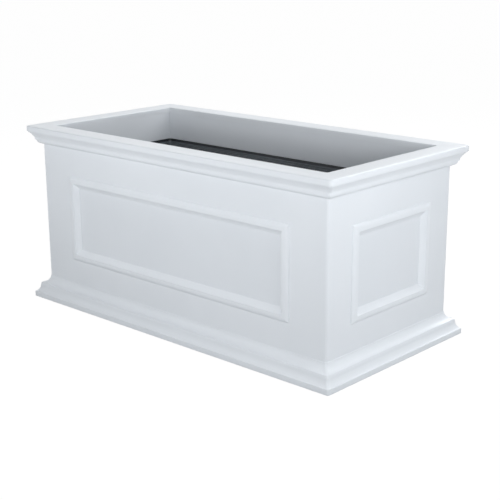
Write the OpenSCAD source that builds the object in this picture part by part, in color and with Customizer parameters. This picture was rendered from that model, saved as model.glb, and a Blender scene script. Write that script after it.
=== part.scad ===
// Panelled box planter with a crown moulding, a plinth and a lift-out planting tray.
// The box is joined from sheet and moulded lengths of white cellular PVC: four mitred
// walls, four panels let into them from behind, and mitred runs of moulding outside.
// X runs along the long side, -Y is the front, Z is up, and the ground is at Z = 0.

/* [Box] */
// Length over the outer faces of the walls
body_length = 858; // [700:1:1200]
// Depth over the outer faces of the walls
body_depth = 409; // [340:1:600]
// Height of the walls, up to the underside of the cap rail
wall_height = 405; // [360:1:560]
// Thickness of the wall board
wall_thickness = 22; // [18:1:28]
// Radius of the four upright corners
corner_radius = 5.5; // [3:0.5:12]
// Space left between two mitred faces for the glue
glue_gap = 0.1; // [0.05:0.05:0.3]

/* [Cap rail] */
// Thickness of the cap rail
cap_thickness = 13; // [11:0.5:22]
// How far the cap rail stands out past the walls
cap_overhang = 28; // [23:1:40]
// Radius of the top outer edge
cap_nose_radius = 5; // [2:0.5:5.5]
// Radius of the bottom outer edge
cap_drip_radius = 2; // [1:0.5:5]
// Radius of the top inner edge
cap_inner_radius = 3; // [1:0.5:5]
// Radius of the cap rail's corners, seen from above
cap_corner_radius = 8; // [3:0.5:14]

/* [Crown moulding] */
// How far the cap rail stands out past the crown moulding
crown_reveal = 2.5; // [2:0.5:6]
// Radius of the crown moulding's corners, seen from above
crown_corner_radius = 6; // [2:0.5:12]
// Height of the narrow flat under the cap rail
crown_fillet = 1; // [0.5:0.5:4]
// Height of the cove
crown_cove_height = 14; // [10:0.5:20]
// Radius of the cove
crown_cove_radius = 20; // [17:1:60]
// Projection of the upright step under the cove
crown_step_projection = 15; // [14:0.5:18]
// Height of that step
crown_step_height = 4.5; // [2:0.5:8]
// How far the quarter-round lies behind the step
crown_bead_setback = 2.5; // [0.5:0.5:3]
// Radius of the quarter-round
crown_bead_radius = 9.5; // [6:0.5:10]
// Height of the lip under the quarter-round
crown_lip = 1; // [0.5:0.5:2]

/* [Base moulding] */
// How far the plinth stands out past the walls
base_overhang = 29; // [26:1:40]
// Height of the plinth
plinth_height = 13; // [10:0.5:24]
// Radius of the plinth's top and bottom edges
plinth_radius = 2; // [1:0.5:4.5]
// Radius of the plinth's corners, seen from above
plinth_corner_radius = 4; // [3:0.5:14]
// Width of the flat on top of the plinth
plinth_ledge = 0.5; // [0.5:0.5:2]
// Height of the lower cove
lower_cove_height = 13.5; // [8:0.5:16]
// Radius of the lower cove
lower_cove_radius = 20; // [14:0.5:40]
// Projection at the foot of the belt
belt_foot_projection = 19; // [17.5:0.5:22]
// Projection at the top of the belt
belt_top_projection = 17; // [15:0.5:17.5]
// Height of the belt
belt_height = 8; // [5:0.5:20]
// Radius of the belt's curve
belt_radius = 26; // [16:1:80]
// Height of the upper cove
upper_cove_height = 17.5; // [9:0.5:20]
// Radius of the upper cove
upper_cove_radius = 18; // [17:1:60]
// Thickness of the moulding's top edge against the wall
base_top_edge = 1; // [0.5:0.5:2]

/* [Panels] */
// From the wall's corner to the frame, on the front and the back
long_side_margin = 95; // [60:1:140]
// From the wall's corner to the frame, on the ends
short_side_margin = 74; // [72:1:95]
// Height of the frame's bottom edge above the ground
frame_bottom = 110; // [90:1:130]
// From the cap rail's underside down to the frame's top edge
frame_top_margin = 95; // [93:1:125]
// Width of the frame moulding
frame_width = 27; // [22:1:40]
// How far the frame moulding stands out from the wall
frame_relief = 5.5; // [4:0.5:9]
// Thickness of the frame moulding at its outer edge
frame_edge = 1.2; // [0.6:0.2:2.4]
// Width of the rounded shoulder inside that edge
frame_shoulder = 10; // [8:0.5:12]
// Radius of the rounded shoulder
frame_shoulder_radius = 14; // [10:1:40]
// Width from the frame's outer edge to the wall's opening
frame_land = 15; // [13:1:17]
// Depth of the small step between the frame's flat and its inner cove
frame_quirk = 0.8; // [0.4:0.2:2]
// Radius of the frame's inner cove
frame_cove_radius = 20; // [14:1:60]
// Thickness of the frame's inner edge, on the panel
frame_inner_edge = 1; // [0.5:0.5:2]
// How far the panel's face lies behind the wall's face
panel_setback = 5; // [3:0.5:8]
// How far the panel laps behind the wall's opening
panel_lap = 12; // [6:1:12.5]
// Clearance round the panel and the frame moulding in their rebates
panel_clearance = 0.2; // [0.1:0.1:0.5]

/* [Inside framing] */
// Side of the square corner posts
post_size = 40; // [32:1:46]
// Height of the tray's top surface below the cap rail's underside
tray_drop = 76; // [60:1:85]
// Height of the ledges that carry the tray
ledge_height = 45; // [40:1:60]
// Width of the ledges, from the wall inwards
ledge_width = 22; // [16:1:30]
// Distance between the two cross braces
brace_spacing = 270; // [180:5:320]
// Width of a cross brace
brace_width = 38; // [30:1:60]
// Height of a cross brace
brace_height = 22; // [16:1:26]
// Clearance of a cross brace in its housing
brace_clearance = 0.2; // [0.1:0.1:0.5]
// Height of the floor's underside above the ground
floor_clearance = 33; // [26:1:48]
// Thickness of the floor board
floor_thickness = 12; // [9:0.5:18]
// Clearance round the floor board
floor_gap = 0.5; // [0.3:0.1:0.9]
// Side of the square cleats under the floor board
cleat_size = 22; // [18:1:26]
// Distance between the two floor bearers
bearer_spacing = 280; // [180:5:360]
// Width of a floor bearer
bearer_width = 38; // [30:1:60]
// Distance between the two screws in each floor bearer
bearer_screw_spacing = 120; // [80:5:180]
// Radius of the drain holes in the floor board
floor_hole_radius = 8; // [5:0.5:12]
// Distance between the rows of drain holes in the floor board
floor_hole_pitch = 100; // [60:5:110]

/* [Tray] */
// Clearance between the tray and the walls
tray_clearance = 2; // [1:0.5:4]
// Radius of the tray's corners
tray_corner_radius = 10; // [6:1:20]
// Thickness of the tray's floor
tray_floor = 3; // [2:0.5:5]
// Thickness of the tray's upturned edge
tray_wall = 3; // [2:0.5:5]
// Height of the upturned edge above the tray's floor
tray_edge_height = 10; // [6:1:16]
// Distance between the low ribs on top of the tray
rib_pitch = 24; // [20:1:36]
// Width of the low ribs
rib_width = 4; // [3:0.5:6]
// Height of the low ribs
rib_height = 1.5; // [1:0.5:3]
// From the tray's end wall to the end of a low rib
rib_inset = 15; // [6:1:24]
// Depth of the stiffening ribs under the tray
keel_depth = 10; // [6:1:14]
// Thickness of the stiffening ribs
keel_thickness = 3; // [2:0.5:5]
// Radius of the tray's drain holes
tray_hole_radius = 6; // [4:0.5:8]
// Distance between the tray's drain holes along its length
tray_hole_pitch = 96; // [72:4:140]
// Length of the two finger slots
slot_length = 84; // [70:2:88]
// Width of the two finger slots
slot_width = 26; // [22:1:30]
// From the tray's end to the middle of a finger slot
slot_inset = 62; // [50:1:80]

/* [Screws] */
// Radius of a screw's shank
screw_radius = 2.2; // [1.5:0.1:2.6]
// Radius of a screw's countersunk head
screw_head_radius = 4.2; // [3.6:0.1:5]
// Height of the countersunk head
screw_head_height = 2.6; // [2:0.1:3]
// How deep a screw bites into the wall or cleat behind
screw_bite = 15; // [10:1:16]
// What is left of a ledge below the tip of a brace screw
screw_cover = 3; // [2:0.5:5]
// Clearance between a screw and its hole
screw_clearance = 0.05; // [0.02:0.01:0.2]
// How far the ledge screws lie below the ledge's top
ledge_screw_drop = 8; // [7:0.5:10]
// Greatest distance between two screws in a row
screw_pitch = 240; // [160:5:300]
// Height of the lowest post screw above the ground
post_screw_foot = 62; // [56:1:70]
// From the highest post screw to the top of the post
post_screw_head = 31; // [24:1:45]
// Height difference between the post screws of two adjoining walls
post_screw_stagger = 18; // [14:1:24]

/* [Hidden] */
$fn = 48;
SIDES = ["front", "right", "back", "left"];
EDGES = ["bottom", "right", "top", "left"];
ENDS = ["left", "right"];
CORNERS = ["front_left", "front_right", "back_right", "back_left"];

WHITE = [0.90, 0.92, 0.94];
WHITE_SHADE = [0.80, 0.83, 0.86];
BLACK = [0.10, 0.11, 0.12];
STEEL = [0.62, 0.63, 0.65];

// A cut runs this far past a face that it opens
over = 1;
half_length = body_length / 2;
half_depth = body_depth / 2;
inner_half_length = half_length - wall_thickness;
inner_half_depth = half_depth - wall_thickness;
total_height = wall_height + cap_thickness;

crown_projection = cap_overhang - crown_reveal;
base_height = plinth_height + lower_cove_height + belt_height + upper_cove_height;

frame_top = wall_height - frame_top_margin;
frame_mid = (frame_bottom + frame_top) / 2;
frame_half_height = (frame_top - frame_bottom) / 2;

tray_top = wall_height - tray_drop;
tray_under = tray_top - tray_floor;
ledge_bottom = tray_under - ledge_height;
brace_top = tray_under - keel_depth;
brace_bottom = brace_top - brace_height;
tray_half_length = inner_half_length - tray_clearance;
tray_half_depth = inner_half_depth - tray_clearance;
keel_half_length = inner_half_length - ledge_width - tray_clearance;
keel_half_depth = inner_half_depth - ledge_width - tray_clearance;

floor_top = floor_clearance + floor_thickness;
cleat_bottom = floor_clearance - cleat_size;
cleat_screw_height = floor_clearance - cleat_size / 2;
screw_hole_radius = screw_radius + screw_clearance;
brace_screw_length = brace_top - ledge_bottom - screw_cover;

// Sides 1 and 3 are the short ends, and sides 0 and 2 are the long ones.
function is_end(i) = i % 2 == 1;
function side_half(i) = is_end(i) ? half_depth : half_length;
function side_reach(i) = is_end(i) ? half_length : half_depth;
function side_margin(i) = is_end(i) ? short_side_margin : long_side_margin;
function frame_half_width(i) = side_half(i) - side_margin(i);

// Evenly spaced places along a line of the given length, none further apart than the pitch.
function row(length, pitch) =
    let (steps = max(1, ceil(length / pitch)))
    [for (i = [0 : steps]) -length / 2 + i * length / steps];

// The places halfway between neighbours in a list of places.
function between(places) =
    [for (i = [1 : len(places) - 1]) (places[i - 1] + places[i]) / 2];

// Centre of the circle of radius r through a and b, on the left of the way from a to b.
function arc_centre(a, b, r) =
    let (d = b - a, half = norm(d) / 2, away = sqrt(r * r - half * half))
    (a + b) / 2 + away * [-d.y, d.x] / norm(d);

// Turns a piece that is drawn on the front round to the side with number i.
module on_side(i) {
    rotate([0, 0, 90 * i]) children();
}

// Draws a profile along X. The profile's x is how far it stands out of the wall's face,
// and its y is the height.
module along_side(i, length) {
    translate([-length / 2, -side_reach(i), 0])
        rotate([90, 0, 90])
        linear_extrude(length)
        mirror([1, 0])
        children();
}

// The space between the two mitred corners of side i, from out past the wall's face to
// depth behind it.
module mitre_space(i, out, depth, bottom, top) {
    reach = side_reach(i);
    half = side_half(i) - glue_gap * sqrt(2) / 2;
    translate([0, 0, bottom])
        linear_extrude(top - bottom)
        polygon([
            [-half - out, -reach - out], [half + out, -reach - out],
            [half - depth, -reach + depth], [-half + depth, -reach + depth]
        ]);
}

// An upright block with rounded corners, centred on the planter.
module rounded_block(half_x, half_y, radius, bottom, top) {
    translate([0, 0, bottom]) {
        translate([-half_x, -half_y + radius, 0])
            cube([2 * half_x, 2 * (half_y - radius), top - bottom]);
        translate([-half_x + radius, -half_y, 0])
            cube([2 * (half_x - radius), 2 * half_y, top - bottom]);
        for (x = [-1, 1], y = [-1, 1])
            translate([x * (half_x - radius), y * (half_y - radius), 0])
            cylinder(r = radius, h = top - bottom);
    }
}

// A flat bar from the wall's face outwards whose outer edges are rounded.
module rounded_bar(inner, outer, bottom, top, lower_radius, upper_radius) {
    translate([inner, bottom + lower_radius])
        square([outer - inner, top - bottom - lower_radius - upper_radius]);
    translate([inner, bottom]) square([outer - inner - lower_radius, lower_radius + over / 4]);
    translate([inner, top - upper_radius - over / 4])
        square([outer - inner - upper_radius, upper_radius + over / 4]);
    translate([outer - lower_radius, bottom + lower_radius]) circle(r = lower_radius);
    translate([outer - upper_radius, top - upper_radius]) circle(r = upper_radius);
}

// A band from the wall's face out to a bulging arc between two points.
module bulging_band(low, high, radius) {
    intersection() {
        translate([0, low.y]) square([low.x + high.x, high.y - low.y]);
        translate(arc_centre(low, high, radius)) circle(r = radius, $fn = 180);
    }
}

// A band from the wall's face out to a hollow arc between two points.
module hollow_band(low, high, radius) {
    difference() {
        polygon([[0, low.y], low, high, [0, high.y]]);
        translate(arc_centre(high, low, radius)) circle(r = radius, $fn = 180);
    }
}

// A hole along -Y, from a point on the front side's inner parts towards the wall.
module screw_hole(length) {
    rotate([90, 0, 0]) cylinder(r = screw_hole_radius, h = length);
}

// The countersink for a screw's head, with its mouth on the X-Z plane, opening to +Y.
module countersink() {
    rotate([90, 0, 0])
        translate([0, 0, -over])
        cylinder(r = screw_head_radius + screw_clearance, h = over + screw_clearance);
    rotate([90, 0, 0])
        translate([0, 0, screw_clearance])
        cylinder(
            r1 = screw_head_radius + screw_clearance,
            r2 = screw_hole_radius,
            h = screw_head_height
        );
}

// A countersunk screw along -Y, its flat head in the X-Z plane.
module screw(length) {
    rotate([90, 0, 0]) {
        translate([0, 0, screw_clearance])
            cylinder(r1 = screw_head_radius, r2 = screw_radius, h = screw_head_height);
        translate([0, 0, screw_head_height])
            cylinder(r = screw_radius, h = length - screw_head_height - screw_radius);
        translate([0, 0, length - screw_radius])
            cylinder(r1 = screw_radius, r2 = screw_radius / 4, h = screw_radius);
    }
}

// Places of the screws through the ledge of side i, on the ledge's inner face. Those of
// the long sides keep clear of the cross braces.
module at_ledge_screws(i) {
    end_half = side_half(i) - wall_thickness - 2 * ledge_width;
    for (x = is_end(i) ? row(2 * end_half, screw_pitch)
        : [-brace_spacing, 0, brace_spacing])
        translate([
            x,
            -side_reach(i) + wall_thickness + ledge_width,
            tray_under - ledge_screw_drop
        ])
        children();
}

function cleat_screw_row(i) =
    row(2 * (side_half(i) - wall_thickness - post_size - cleat_size), screw_pitch);

// Places of the screws through the floor cleat of side i, on the cleat's inner face.
module at_cleat_screws(i) {
    for (x = cleat_screw_row(i))
        translate([x, -side_reach(i) + wall_thickness + cleat_size, cleat_screw_height])
        children();
}

// Places of the screws through the corner posts into the wall of side i, on the posts'
// inner faces. The list ends says which of the side's two posts are meant.
module at_post_screws(i, ends = [-1, 1]) {
    low = post_screw_foot + (is_end(i) ? post_screw_stagger : 0);
    high = ledge_bottom - post_screw_head + (is_end(i) ? 0 : -post_screw_stagger);
    for (x = ends, z = [low, (low + high) / 2, high])
        translate([
            x * (side_half(i) - wall_thickness - post_size / 2),
            -side_reach(i) + wall_thickness + post_size,
            z
        ])
        children();
}

// Places of the screws down through the floor board, on its top face, pointing down.
module at_floor_screws() {
    for (x = between(cleat_screw_row(0)), y = [-1, 1])
        translate([x, y * (inner_half_depth - cleat_size / 2), floor_top])
        rotate([90, 0, 0])
        children();
    for (x = [-1, 1], y = [-1, 1])
        translate([x * bearer_spacing / 2, y * bearer_screw_spacing / 2, floor_top])
        rotate([90, 0, 0])
        children();
}

// Places of the screws down through the ends of the cross braces into the ledges.
module at_brace_screws() {
    for (x = [-1, 1], y = [-1, 1])
        translate([
            x * brace_spacing / 2,
            y * (inner_half_depth - ledge_width / 2),
            brace_top
        ])
        rotate([90, 0, 0])
        children();
}

// ---- The box ----

module wall_board(i) {
    half = frame_half_width(i);
    reach = side_reach(i);
    color(WHITE)
    difference() {
        intersection() {
            on_side(-i) rounded_block(half_length, half_depth, corner_radius, 0, wall_height);
            mitre_space(i, over, wall_thickness, -over, wall_height + over);
        }
        // opening that shows the panel
        translate([
            -half + frame_land,
            -reach - over,
            frame_bottom + frame_land
        ])
            cube([
                2 * (half - frame_land),
                wall_thickness + 2 * over,
                frame_top - frame_bottom - 2 * frame_land
            ]);
        // rebate that holds the panel from behind
        translate([
            -half + frame_land - panel_lap,
            -reach + panel_setback,
            frame_bottom + frame_land - panel_lap
        ])
            cube([
                2 * (half - frame_land + panel_lap),
                wall_thickness,
                frame_top - frame_bottom - 2 * (frame_land - panel_lap)
            ]);
        at_ledge_screws(i) screw_hole(ledge_width + screw_bite + screw_clearance);
        at_cleat_screws(i) screw_hole(cleat_size + screw_bite + screw_clearance);
        at_post_screws(i) screw_hole(post_size + screw_bite + screw_clearance);
    }
}

module panel(i) {
    half = frame_half_width(i) - frame_land + panel_lap - panel_clearance;
    low = frame_bottom + frame_land - panel_lap + panel_clearance;
    high = frame_top - frame_land + panel_lap - panel_clearance;
    color(WHITE)
        translate([-half, -side_reach(i) + panel_setback, low])
        cube([2 * half, wall_thickness - panel_setback, high - low]);
}

// Section of the frame moulding: x from the frame's outer edge inwards, y out of the wall.
module frame_section() {
    back = frame_land + panel_clearance;
    cove_top = [frame_land, frame_relief - frame_quirk];
    cove_foot = [frame_width, frame_inner_edge - panel_setback];
    // rounded shoulder
    intersection() {
        square([frame_shoulder, frame_relief]);
        translate(arc_centre([frame_shoulder, frame_relief], [0, frame_edge], frame_shoulder_radius))
            circle(r = frame_shoulder_radius, $fn = 180);
    }
    // flat on the wall
    translate([frame_shoulder, 0]) square([frame_land - frame_shoulder, frame_relief]);
    // hollow slope down to the panel
    difference() {
        polygon([
            [frame_land, 0], [back, 0], [back, -panel_setback], [frame_width, -panel_setback],
            cove_foot, cove_top
        ]);
        translate(arc_centre(cove_top, cove_foot, frame_cove_radius))
            circle(r = frame_cove_radius, $fn = 180);
    }
}

// One mitred length of the frame moulding, lying along X as the frame's bottom edge.
module frame_length(half) {
    seam = glue_gap * sqrt(2) / 2;
    intersection() {
        translate([-half, 0, 0])
            rotate([90, 0, 90])
            linear_extrude(2 * half)
            rotate(90)
            frame_section();
        translate([0, panel_setback + over, 0])
            rotate([90, 0, 0])
            linear_extrude(panel_setback + frame_relief + 2 * over)
            polygon([
                [-half + seam, 0], [half - seam, 0],
                [half - seam - frame_width, frame_width],
                [-half + seam + frame_width, frame_width]
            ]);
    }
}

module frame_piece(i, e) {
    upright = e % 2 == 1;
    run = upright ? frame_half_height : frame_half_width(i);
    drop = upright ? frame_half_width(i) : frame_half_height;
    color(WHITE)
        translate([0, -side_reach(i), frame_mid])
        rotate([0, -90 * e, 0])
        translate([0, 0, -drop])
        frame_length(run);
}

// ---- Outside mouldings ----

module cap_section() {
    translate([-wall_thickness + cap_inner_radius, cap_thickness - cap_inner_radius])
        circle(r = cap_inner_radius);
    translate([-wall_thickness, 0])
        square([wall_thickness, cap_thickness - cap_inner_radius]);
    translate([-wall_thickness + cap_inner_radius, 0])
        square([wall_thickness - cap_inner_radius, cap_thickness]);
    rounded_bar(-over, cap_overhang, 0, cap_thickness, cap_drip_radius, cap_nose_radius);
}

module cap(i) {
    long = 2 * (side_half(i) + cap_overhang);
    color(WHITE)
    intersection() {
        translate([0, 0, wall_height]) along_side(i, long) cap_section();
        mitre_space(i, cap_overhang + over, wall_thickness + over, 0, total_height + over);
        on_side(-i)
            rounded_block(
                half_length + cap_overhang,
                half_depth + cap_overhang,
                cap_corner_radius,
                0,
                total_height + over
            );
    }
}

// Section of the crown moulding, downwards from y = 0 under the cap rail.
module crown_section() {
    cove_top = -crown_fillet;
    cove_foot = cove_top - crown_cove_height;
    bead_top = cove_foot - crown_step_height;
    bead_foot = bead_top - crown_bead_radius;
    bead_projection = crown_step_projection - crown_bead_setback;
    lip_projection = bead_projection - crown_bead_radius;
    translate([0, cove_top]) square([crown_projection, crown_fillet]);
    hollow_band([crown_step_projection, cove_foot], [crown_projection, cove_top], crown_cove_radius);
    translate([0, bead_top]) square([crown_step_projection, crown_step_height]);
    intersection() {
        translate([lip_projection, bead_foot])
            square([crown_bead_radius, crown_bead_radius]);
        translate([lip_projection, bead_top]) circle(r = crown_bead_radius);
    }
    translate([0, bead_foot - crown_lip])
        square([lip_projection, crown_bead_radius + crown_lip]);
}

module crown(i) {
    long = 2 * (side_half(i) + crown_projection);
    color(WHITE)
    intersection() {
        translate([0, 0, wall_height]) along_side(i, long) crown_section();
        mitre_space(i, crown_projection + over, over, 0, wall_height + over);
        on_side(-i)
            rounded_block(
                half_length + crown_projection,
                half_depth + crown_projection,
                crown_corner_radius,
                0,
                wall_height + over
            );
    }
}

// Section of the base moulding, upwards from the ground.
module base_section() {
    cove_foot = plinth_height;
    belt_foot = cove_foot + lower_cove_height;
    belt_top = belt_foot + belt_height;
    rounded_bar(0, base_overhang, 0, plinth_height, plinth_radius, plinth_radius);
    hollow_band(
        [base_overhang - plinth_radius - plinth_ledge, cove_foot],
        [belt_foot_projection, belt_foot],
        lower_cove_radius
    );
    bulging_band([belt_foot_projection, belt_foot], [belt_top_projection, belt_top], belt_radius);
    hollow_band(
        [belt_top_projection - base_top_edge, belt_top],
        [base_top_edge, base_height],
        upper_cove_radius
    );
}

module base(i) {
    long = 2 * (side_half(i) + base_overhang);
    color(WHITE)
    intersection() {
        along_side(i, long) base_section();
        mitre_space(i, base_overhang + over, over, -over, base_height + over);
        on_side(-i)
            rounded_block(
                half_length + base_overhang,
                half_depth + base_overhang,
                plinth_corner_radius,
                -over,
                base_height + over
            );
    }
}

// ---- Framing inside ----

module post_screw_hole() {
    countersink();
    screw_hole(post_size + over);
}

// Post c stands where side c meets the side before it.
module post(c) {
    x = (c == 1 || c == 2) ? 1 : -1;
    y = c > 1 ? 1 : -1;
    color(WHITE_SHADE)
    difference() {
        translate([
            x > 0 ? inner_half_length - post_size : -inner_half_length,
            y > 0 ? inner_half_depth - post_size : -inner_half_depth,
            0
        ])
            cube([post_size, post_size, ledge_bottom]);
        on_side(c) at_post_screws(c, [-1]) post_screw_hole();
        on_side(c + 3) at_post_screws((c + 3) % 4, [1]) post_screw_hole();
    }
}

module ledge(i) {
    half = side_half(i) - wall_thickness - (is_end(i) ? ledge_width : 0);
    wall_face = -side_reach(i) + wall_thickness;
    housing = brace_width + 2 * brace_clearance;
    color(WHITE_SHADE)
    difference() {
        translate([-half, wall_face, ledge_bottom])
            cube([2 * half, ledge_width, ledge_height]);
        if (!is_end(i))
            for (x = [-1, 1])
                translate([x * brace_spacing / 2 - housing / 2, wall_face - over, brace_bottom])
                cube([housing, ledge_width + 2 * over, ledge_height]);
        at_ledge_screws(i) {
            countersink();
            screw_hole(ledge_width + over);
        }
        on_side(-i) at_brace_screws() screw_hole(brace_screw_length + screw_clearance);
    }
}

module brace(end) {
    color(WHITE_SHADE)
    difference() {
        translate([
            (2 * end - 1) * brace_spacing / 2 - brace_width / 2,
            -inner_half_depth + brace_clearance,
            brace_bottom
        ])
            cube([brace_width, 2 * (inner_half_depth - brace_clearance), brace_height]);
        at_brace_screws() {
            countersink();
            screw_hole(brace_height + over);
        }
    }
}

module floor_cleat(i) {
    half = side_half(i) - wall_thickness - post_size;
    color(WHITE_SHADE)
    difference() {
        translate([-half, -side_reach(i) + wall_thickness, cleat_bottom])
            cube([2 * half, cleat_size, cleat_size]);
        at_cleat_screws(i) {
            countersink();
            screw_hole(cleat_size + over);
        }
        on_side(-i) at_floor_screws() screw_hole(floor_thickness + screw_bite + screw_clearance);
    }
}

module floor_bearer(end) {
    half = inner_half_depth - cleat_size - floor_gap;
    color(WHITE_SHADE)
    difference() {
        translate([(2 * end - 1) * bearer_spacing / 2 - bearer_width / 2, -half, 0])
            cube([bearer_width, 2 * half, floor_clearance]);
        at_floor_screws() screw_hole(floor_thickness + screw_bite + screw_clearance);
    }
}

module floor_board() {
    half_x = inner_half_length - floor_gap;
    half_y = inner_half_depth - floor_gap;
    notch = post_size + floor_gap;
    color(WHITE_SHADE)
    difference() {
        translate([-half_x, -half_y, floor_clearance])
            cube([2 * half_x, 2 * half_y, floor_thickness]);
        for (x = [-1, 1], y = [-1, 1])
            translate([
                x * inner_half_length - (x > 0 ? notch : 0),
                y * inner_half_depth - (y > 0 ? notch : 0),
                floor_clearance - over
            ])
            cube([notch, notch, floor_thickness + 2 * over]);
        for (x = [-1, 0, 1], y = [-1, 0, 1])
            translate([x * bearer_spacing, y * floor_hole_pitch, floor_clearance - over])
            cylinder(r = floor_hole_radius, h = floor_thickness + 2 * over);
        at_floor_screws() {
            countersink();
            screw_hole(floor_thickness + over);
        }
    }
}

// ---- The lift-out tray ----

// The tray's holes lie in three lines, each in the middle of a channel between two ribs.
hole_lines = [-4 * rib_pitch, 0, 4 * rib_pitch];
holes_per_side = floor((tray_half_length - slot_inset - slot_width / 2 - 2 * tray_hole_radius)
    / tray_hole_pitch);

module finger_slot(bottom, top) {
    straight = slot_length - slot_width;
    translate([-slot_width / 2, -straight / 2, bottom])
        cube([slot_width, straight, top - bottom]);
    for (y = [-1, 1])
        translate([0, y * straight / 2, bottom])
        cylinder(r = slot_width / 2, h = top - bottom);
}

module tray_ribs() {
    rib_half = tray_half_length - tray_wall - rib_inset;
    count = floor((tray_half_depth - tray_wall - rib_width) / rib_pitch + 0.5);
    for (k = [0 : count - 1], side = [-1, 1])
        translate([
            -rib_half,
            side * (k + 0.5) * rib_pitch - rib_width / 2,
            tray_top - over / 2
        ])
        cube([2 * rib_half, rib_width, rib_height + over / 2]);
}

module tray_keels() {
    keel_lines = [-2 * rib_pitch, 2 * rib_pitch];
    cross_lines = [-1.5 * tray_hole_pitch, -0.5 * tray_hole_pitch, 0.5 * tray_hole_pitch,
        1.5 * tray_hole_pitch];
    for (y = keel_lines)
        translate([-keel_half_length, y - keel_thickness / 2, brace_top])
        cube([2 * keel_half_length, keel_thickness, keel_depth + over / 2]);
    for (x = cross_lines)
        translate([x - keel_thickness / 2, -keel_half_depth, brace_top])
        cube([keel_thickness, 2 * keel_half_depth, keel_depth + over / 2]);
    for (x = [-1, 1])
        translate([
            x * (keel_half_length - keel_thickness / 2) - keel_thickness / 2,
            -keel_half_depth,
            brace_top
        ])
        cube([keel_thickness, 2 * keel_half_depth, keel_depth + over / 2]);
    for (y = [-1, 1])
        translate([
            -keel_half_length,
            y * (keel_half_depth - keel_thickness / 2) - keel_thickness / 2,
            brace_top
        ])
        cube([2 * keel_half_length, keel_thickness, keel_depth + over / 2]);
}

module insert_tray() {
    color(BLACK)
    difference() {
        union() {
            difference() {
                rounded_block(
                    tray_half_length, tray_half_depth, tray_corner_radius,
                    tray_under, tray_top + tray_edge_height
                );
                rounded_block(
                    tray_half_length - tray_wall, tray_half_depth - tray_wall,
                    tray_corner_radius - tray_wall,
                    tray_top, tray_top + tray_edge_height + over
                );
            }
            tray_ribs();
            tray_keels();
        }
        for (x = [-holes_per_side : holes_per_side], y = hole_lines)
            translate([x * tray_hole_pitch, y, tray_under - over])
            cylinder(r = tray_hole_radius, h = tray_floor + 2 * over);
        for (side = [-1, 1])
            translate([side * (tray_half_length - slot_inset), 0, 0])
            finger_slot(brace_top - over, tray_top + rib_height + over);
    }
}

// ---- Screws ----

module post_screws() {
    color(STEEL)
        for (i = [0 : 3]) on_side(i) at_post_screws(i) screw(post_size + screw_bite);
}

module ledge_screws() {
    color(STEEL)
        for (i = [0 : 3]) on_side(i) at_ledge_screws(i) screw(ledge_width + screw_bite);
}

module floor_cleat_screws() {
    color(STEEL)
        for (i = [0 : 3]) on_side(i) at_cleat_screws(i) screw(cleat_size + screw_bite);
}

module floor_screws() {
    color(STEEL) at_floor_screws() screw(floor_thickness + screw_bite);
}

module brace_screws() {
    color(STEEL) at_brace_screws() screw(brace_screw_length);
}

for (i = [0 : 3]) {
    on_side(i) wall_board(i);
    on_side(i) panel(i);
    for (e = [0 : 3])
        on_side(i) frame_piece(i, e);
    on_side(i) cap(i);
    on_side(i) crown(i);
    on_side(i) base(i);
    post(i);
    on_side(i) ledge(i);
    on_side(i) floor_cleat(i);
}
for (end = [0, 1]) {
    brace(end);
    floor_bearer(end);
}
floor_board();
insert_tray();
post_screws();
ledge_screws();
floor_cleat_screws();
floor_screws();
brace_screws();
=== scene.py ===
# %% [markdown]
# # A panelled planter box
# The real thing is a white outdoor planter: four flat walls with a framed field in each, a cap rail
# on a curved crown moulding, a stepped base, and a black tray inside. The measured solids come from
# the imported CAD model. This notebook dresses them. It keeps the walls and panels, puts copies with
# softer edges in place of the mouldings, the boards, the tray and the screws, gives every surface a
# finish, and lights the whole thing softly.

# %% Load the fixed frame
import math

import bmesh
import bpy
from mathutils import Matrix, Vector


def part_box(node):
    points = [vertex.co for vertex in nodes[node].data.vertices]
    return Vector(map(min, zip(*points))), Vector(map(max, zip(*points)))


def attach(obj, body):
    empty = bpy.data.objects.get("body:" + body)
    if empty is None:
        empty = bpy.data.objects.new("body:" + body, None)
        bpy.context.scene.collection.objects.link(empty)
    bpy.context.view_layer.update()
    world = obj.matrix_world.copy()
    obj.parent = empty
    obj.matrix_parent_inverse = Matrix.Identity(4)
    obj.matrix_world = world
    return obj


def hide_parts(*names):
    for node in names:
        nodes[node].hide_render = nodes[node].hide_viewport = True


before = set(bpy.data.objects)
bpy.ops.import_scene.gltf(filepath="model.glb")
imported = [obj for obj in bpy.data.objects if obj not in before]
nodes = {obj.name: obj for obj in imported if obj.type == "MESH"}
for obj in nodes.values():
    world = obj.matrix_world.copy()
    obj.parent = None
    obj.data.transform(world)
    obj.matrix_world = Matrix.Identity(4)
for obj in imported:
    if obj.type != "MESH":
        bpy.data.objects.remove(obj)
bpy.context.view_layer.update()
MM = 0.001
SIDES = ("front", "right", "back", "left")
EDGES = ("bottom", "right", "top", "left")

# %% [markdown]
# ## The camera
# A product photograph of a box is taken a little above it and from one corner, from far enough away
# that the upright edges stay nearly parallel. The viewpoint is worked out from the edges of the rim
# and the base in the picture, and written here as an angle, a height and a distance. Blender wants a
# position and three axes, so those are built with plain trigonometry.

# %% Place the camera
TURN, RISE, ROLL = math.radians(42.813), math.radians(15.909), math.radians(-0.317)
DISTANCE, AIM_HEIGHT = 2.483, 0.200
SLIDE_RIGHT, SLIDE_UP = 0.03073, -0.04597
LENS_PIXELS, PICTURE_PIXELS, SENSOR = 1094.6, 500, 36.0

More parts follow.
